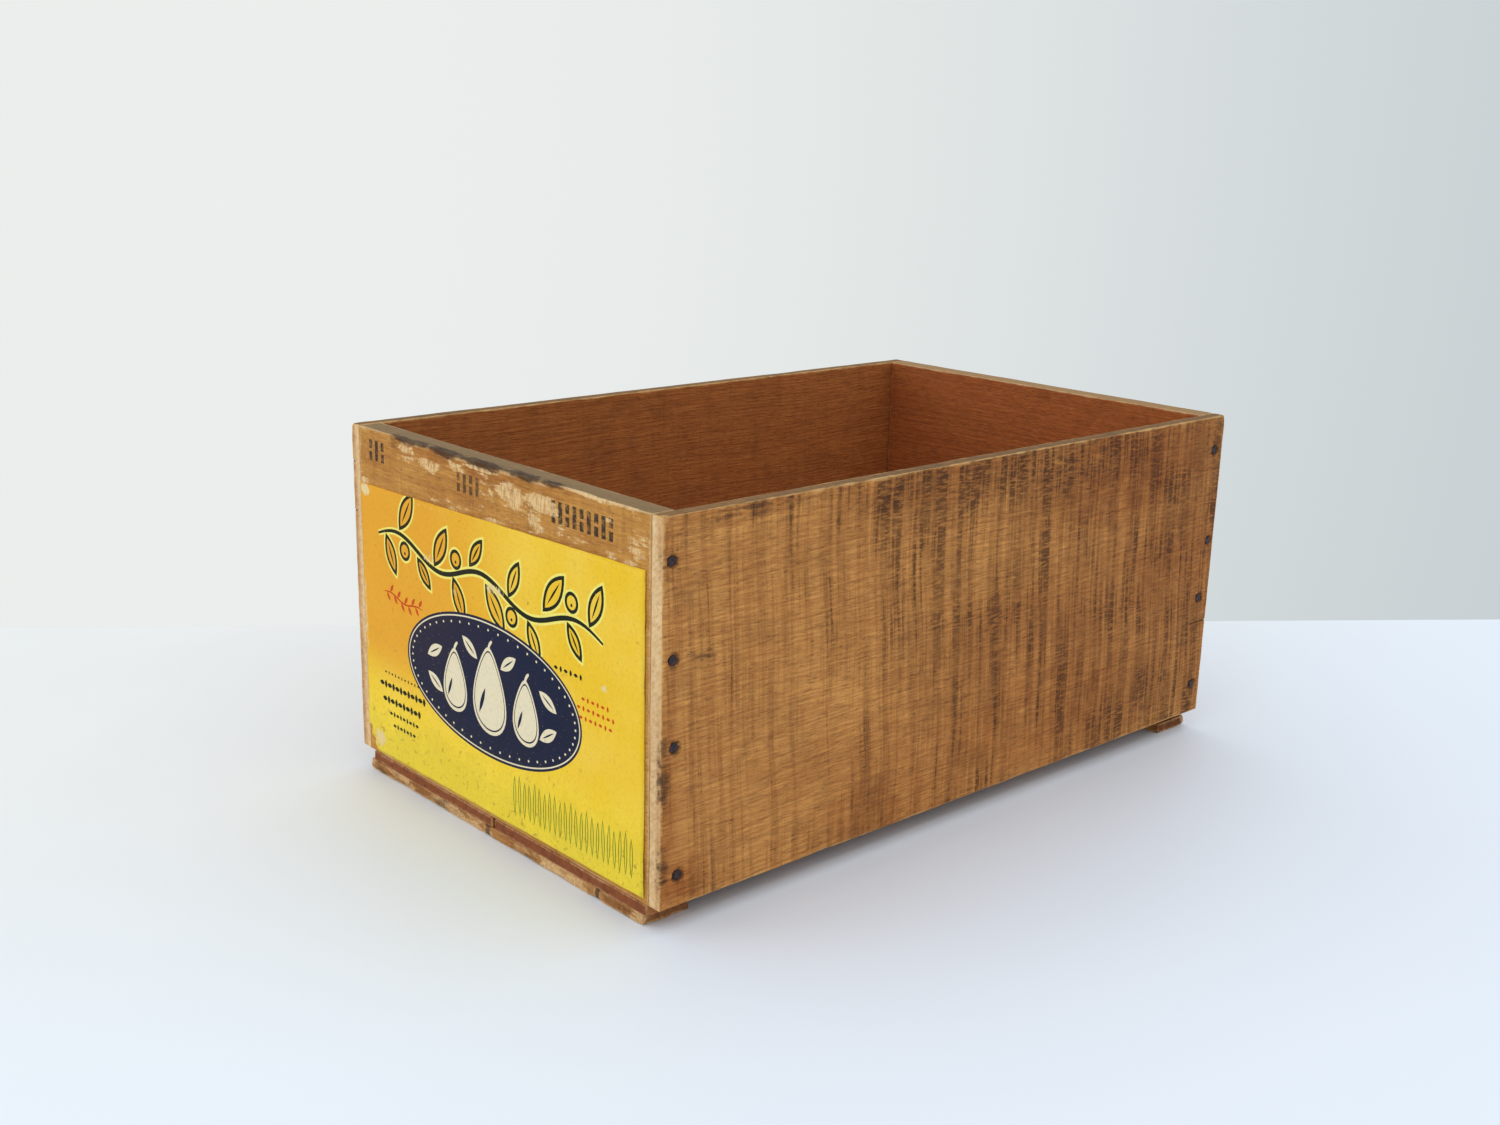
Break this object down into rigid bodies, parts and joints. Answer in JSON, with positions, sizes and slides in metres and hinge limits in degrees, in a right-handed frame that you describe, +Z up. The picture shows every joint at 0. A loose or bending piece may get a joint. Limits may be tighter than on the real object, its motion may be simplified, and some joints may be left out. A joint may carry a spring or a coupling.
{
  "type": "fruit crate",
  "caption": "Open-topped wooden orchard crate: thick end panels, thin side panels and floor boards nailed together, a cleat under each end, and a paper label on one end.",
  "frame": {"origin": "on the ground under the middle of the crate, at the level of the cleats' undersides", "axes": "+Z up, +Y along the crate away from the labelled end, +X towards the right side panel when facing the labelled end"},
  "size_m": [0.311, 0.5003, 0.23],
  "materials": {
    "end_wood": "weathered bare softwood, lightly planed",
    "side_wood": "rough-sawn bare softwood with dark saw streaks",
    "floor_wood": "bare softwood, darkened and reddish",
    "cleat_wood": "bare softwood, rough and splintered",
    "label_paper": "printed paper, aged and foxed, slight gloss",
    "nail_steel": "oxidised steel wire, dark blue-grey"
  },
  "bodies": {
    "root": {"end_panel_front": "end_wood", "end_panel_back": "end_wood", "side_panel_right": "side_wood", "side_panel_left": "side_wood", "floor_board_left": "floor_wood", "floor_board_right": "floor_wood", "cleat_front": "cleat_wood", "cleat_back": "cleat_wood", "paper_label": "label_paper", "nail_right_front_1": "nail_steel", "nail_right_front_2": "nail_steel", "nail_right_front_3": "nail_steel", "nail_right_front_4": "nail_steel", "nail_right_back_1": "nail_steel", "nail_right_back_2": "nail_steel", "nail_right_back_3": "nail_steel", "nail_right_back_4": "nail_steel", "nail_left_front_1": "nail_steel", "nail_left_front_2": "nail_steel", "nail_left_front_3": "nail_steel", "nail_left_front_4": "nail_steel", "nail_left_back_1": "nail_steel", "nail_left_back_2": "nail_steel", "nail_left_back_3": "nail_steel", "nail_left_back_4": "nail_steel", "nail_cleat_front_1": "nail_steel", "nail_cleat_front_2": "nail_steel", "nail_cleat_front_3": "nail_steel", "nail_cleat_front_4": "nail_steel", "nail_cleat_front_5": "nail_steel", "nail_cleat_front_6": "nail_steel", "nail_cleat_back_1": "nail_steel", "nail_cleat_back_2": "nail_steel", "nail_cleat_back_3": "nail_steel", "nail_cleat_back_4": "nail_steel", "nail_cleat_back_5": "nail_steel", "nail_cleat_back_6": "nail_steel"}
  },
  "joints": []
}
